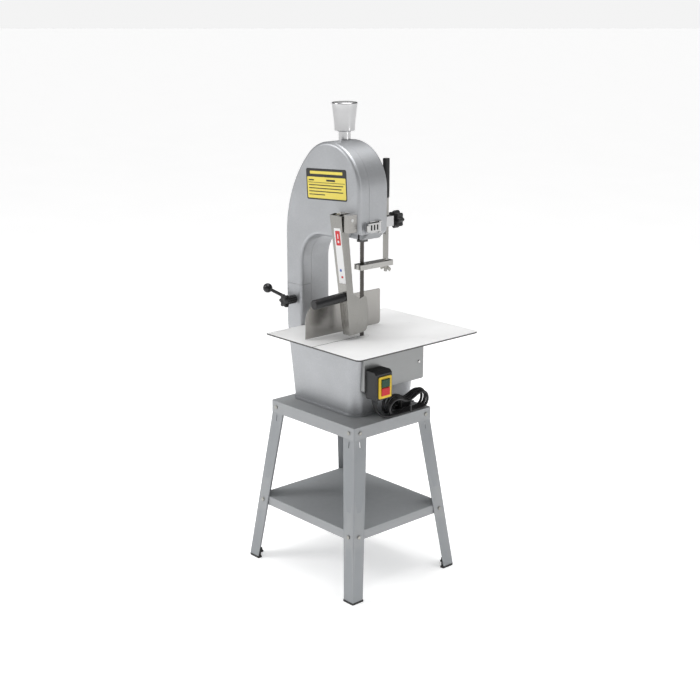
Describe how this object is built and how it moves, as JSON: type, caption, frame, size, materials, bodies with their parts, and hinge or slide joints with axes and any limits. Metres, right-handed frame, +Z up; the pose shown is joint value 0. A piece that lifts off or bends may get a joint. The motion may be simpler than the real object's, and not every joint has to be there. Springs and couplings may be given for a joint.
{
  "type": "bone saw",
  "caption": "Butcher's band saw for bone on a splayed sheet-metal stand, with a hinged wheel door, work table, slice plate, pusher and blade guide",
  "frame": {"origin": "centre of the footprint, on the floor, with the lead left out", "axes": "+X to the cutting side, +Y from the front door to the back, +Z up"},
  "size_m": [0.536, 0.46, 1.3649],
  "materials": {
    "stand_paint": "satin",
    "foot_rubber": "matte",
    "zinc_steel": "satin",
    "silver_casting": "satin",
    "stainless": "brushed",
    "bright_steel": "polished",
    "cast_wheel": "as cast and turned",
    "slide_iron": "machined",
    "turned_aluminium": "polished",
    "motor_paint": "satin",
    "guide_plastic": "matte",
    "black_plastic": "satin",
    "black_gloss": "gloss",
    "switch_black": "matte",
    "switch_yellow": "satin",
    "button_green": "gloss",
    "button_red": "gloss",
    "cord_rubber": "matte"
  },
  "bodies": {
    "frame": {"stand_leg_fl": "stand_paint", "stand_leg_fr": "stand_paint", "stand_leg_br": "stand_paint", "stand_leg_bl": "stand_paint", "stand_top": "stand_paint", "stand_shelf": "stand_paint", "stand_feet": "foot_rubber", "stand_bolts": "zinc_steel", "stand_nuts": "zinc_steel", "base_box": "silver_casting", "frame_bolts": "zinc_steel", "side_panel": "silver_casting", "worktable": "stainless", "throat_insert": "stainless", "table_stiffener": "stainless", "table_screws": "bright_steel", "column_head": "silver_casting", "lower_cover": "silver_casting", "case_screws": "bright_steel", "hinge_pins": "zinc_steel", "latch_base": "bright_steel", "tension_stem": "turned_aluminium", "motor_housing": "motor_paint", "saw_band": "stainless", "head_blade_guide": "guide_plastic", "post_clamp": "turned_aluminium", "switch_box": "switch_black", "switch_frame": "switch_yellow", "mains_cord": "cord_rubber", "cord_hank": "cord_rubber", "mains_plug": "black_gloss"},
    "door": {"door": "silver_casting", "pusher_bracket": "stainless", "bracket_screws": "bright_steel", "pusher_pin": "bright_steel"},
    "pusher": {"pusher_arm": "stainless", "pusher_handle": "black_gloss"},
    "latch": {"latch_lever": "bright_steel"},
    "drive": {"lower_wheel": "cast_wheel", "motor_rotor": "zinc_steel"},
    "tensioner": {"tension_slide": "slide_iron", "upper_axle": "zinc_steel"},
    "idler": {"upper_wheel": "cast_wheel", "wheel_bearings": "bright_steel"},
    "tension_hand": {"tension_knob": "turned_aluminium", "tension_screw": "zinc_steel"},
    "post": {"guide_post": "stainless", "guide_post_grip": "black_plastic", "guide_arm": "stainless"},
    "roller": {"guide_roller": "bright_steel"},
    "wing_nut": {"guide_wing_nut": "zinc_steel"},
    "post_knob": {"clamp_knob": "black_plastic"},
    "lever": {"lever_shaft": "zinc_steel", "lever_hub": "black_gloss", "lever_ball": "black_gloss"},
    "lever_star": {"star_knob": "black_plastic"},
    "fence": {"fence_plate": "stainless", "fence_rack": "stainless"},
    "start_button": {"button_green": "button_green"},
    "stop_button": {"button_red": "button_red"}
  },
  "joints": [
    {"name": "door_hinge", "type": "hinge", "parent": "frame", "child": "door", "pos_m": [-0.195, -0.062, 0.961], "axis": [0, 0, -1], "range_deg": [0, 110]},
    {"name": "pusher_hinge", "type": "hinge", "parent": "door", "child": "pusher", "pos_m": [0.076, -0.116, 1.066], "axis": [-1, 0, 0], "range_deg": [0, 75]},
    {"name": "latch_pivot", "type": "hinge", "parent": "frame", "child": "latch", "pos_m": [0.132, -0.03, 1.042], "axis": [0, 0, 1], "range_deg": [0, 100]},
    {"name": "drive_spin", "type": "hinge", "parent": "frame", "child": "drive", "pos_m": [-0.021, -0.05, 0.619], "axis": [0, 1, 0], "continuous": true},
    {"name": "tension_travel", "type": "slide", "parent": "frame", "child": "tensioner", "axis": [0, 0, 1], "range_m": [-0.00787, 0]},
    {"name": "idler_spin", "type": "hinge", "parent": "tensioner", "child": "idler", "pos_m": [-0.021, -0.05, 1.12042], "axis": [0, 1, 0], "continuous": true},
    {"name": "tension_turn", "type": "hinge", "parent": "frame", "child": "tension_hand", "pos_m": [-0.021, -0.02, 1.308], "axis": [0, 0, 1], "range_deg": [0, 1620]},
    {"name": "post_travel", "type": "slide", "parent": "frame", "child": "post", "axis": [0, 0, 1], "range_m": [-0.045, 0.055]},
    {"name": "roller_spin", "type": "hinge", "parent": "post", "child": "roller", "pos_m": [0.082, -0.0332, 0.928], "axis": [1, 0, 0], "continuous": true},
    {"name": "wing_nut_turn", "type": "hinge", "parent": "post", "child": "wing_nut", "pos_m": [0.092, 0.031, 0.914], "axis": [0, 0, 1], "continuous": true},
    {"name": "post_knob_turn", "type": "hinge", "parent": "frame", "child": "post_knob", "pos_m": [0.092, 0.06, 1.046], "axis": [0, 1, 0], "range_deg": [-180, 180]},
    {"name": "lever_turn", "type": "hinge", "parent": "frame", "child": "lever", "pos_m": [-0.149, -0.06, 0.803], "axis": [0, 1, 0], "range_deg": [-100, 5]},
    {"name": "star_turn", "type": "hinge", "parent": "lever", "child": "lever_star", "pos_m": [-0.149, -0.135, 0.803], "axis": [0, 1, 0], "range_deg": [-360, 360]},
    {"name": "fence_travel", "type": "slide", "parent": "frame", "child": "fence", "axis": [1, 0, 0], "range_m": [-0.0023, 0.0437]},
    {"name": "start_press", "type": "slide", "parent": "frame", "child": "start_button", "axis": [-1, 0, 0], "range_m": [0, 0.004], "stiffness_N_per_m": 600},
    {"name": "stop_press", "type": "slide", "parent": "frame", "child": "stop_button", "axis": [-1, 0, 0], "range_m": [0, 0.004], "stiffness_N_per_m": 600}
  ],
  "couplings": [
    {"joint": "idler_spin", "follows": "drive_spin", "ratio": 1},
    {"joint": "tension_turn", "follows": "tension_travel", "rad_per_m": -3590.4},
    {"joint": "fence_travel", "follows": "lever_turn", "m_per_rad": -0.025}
  ]
}
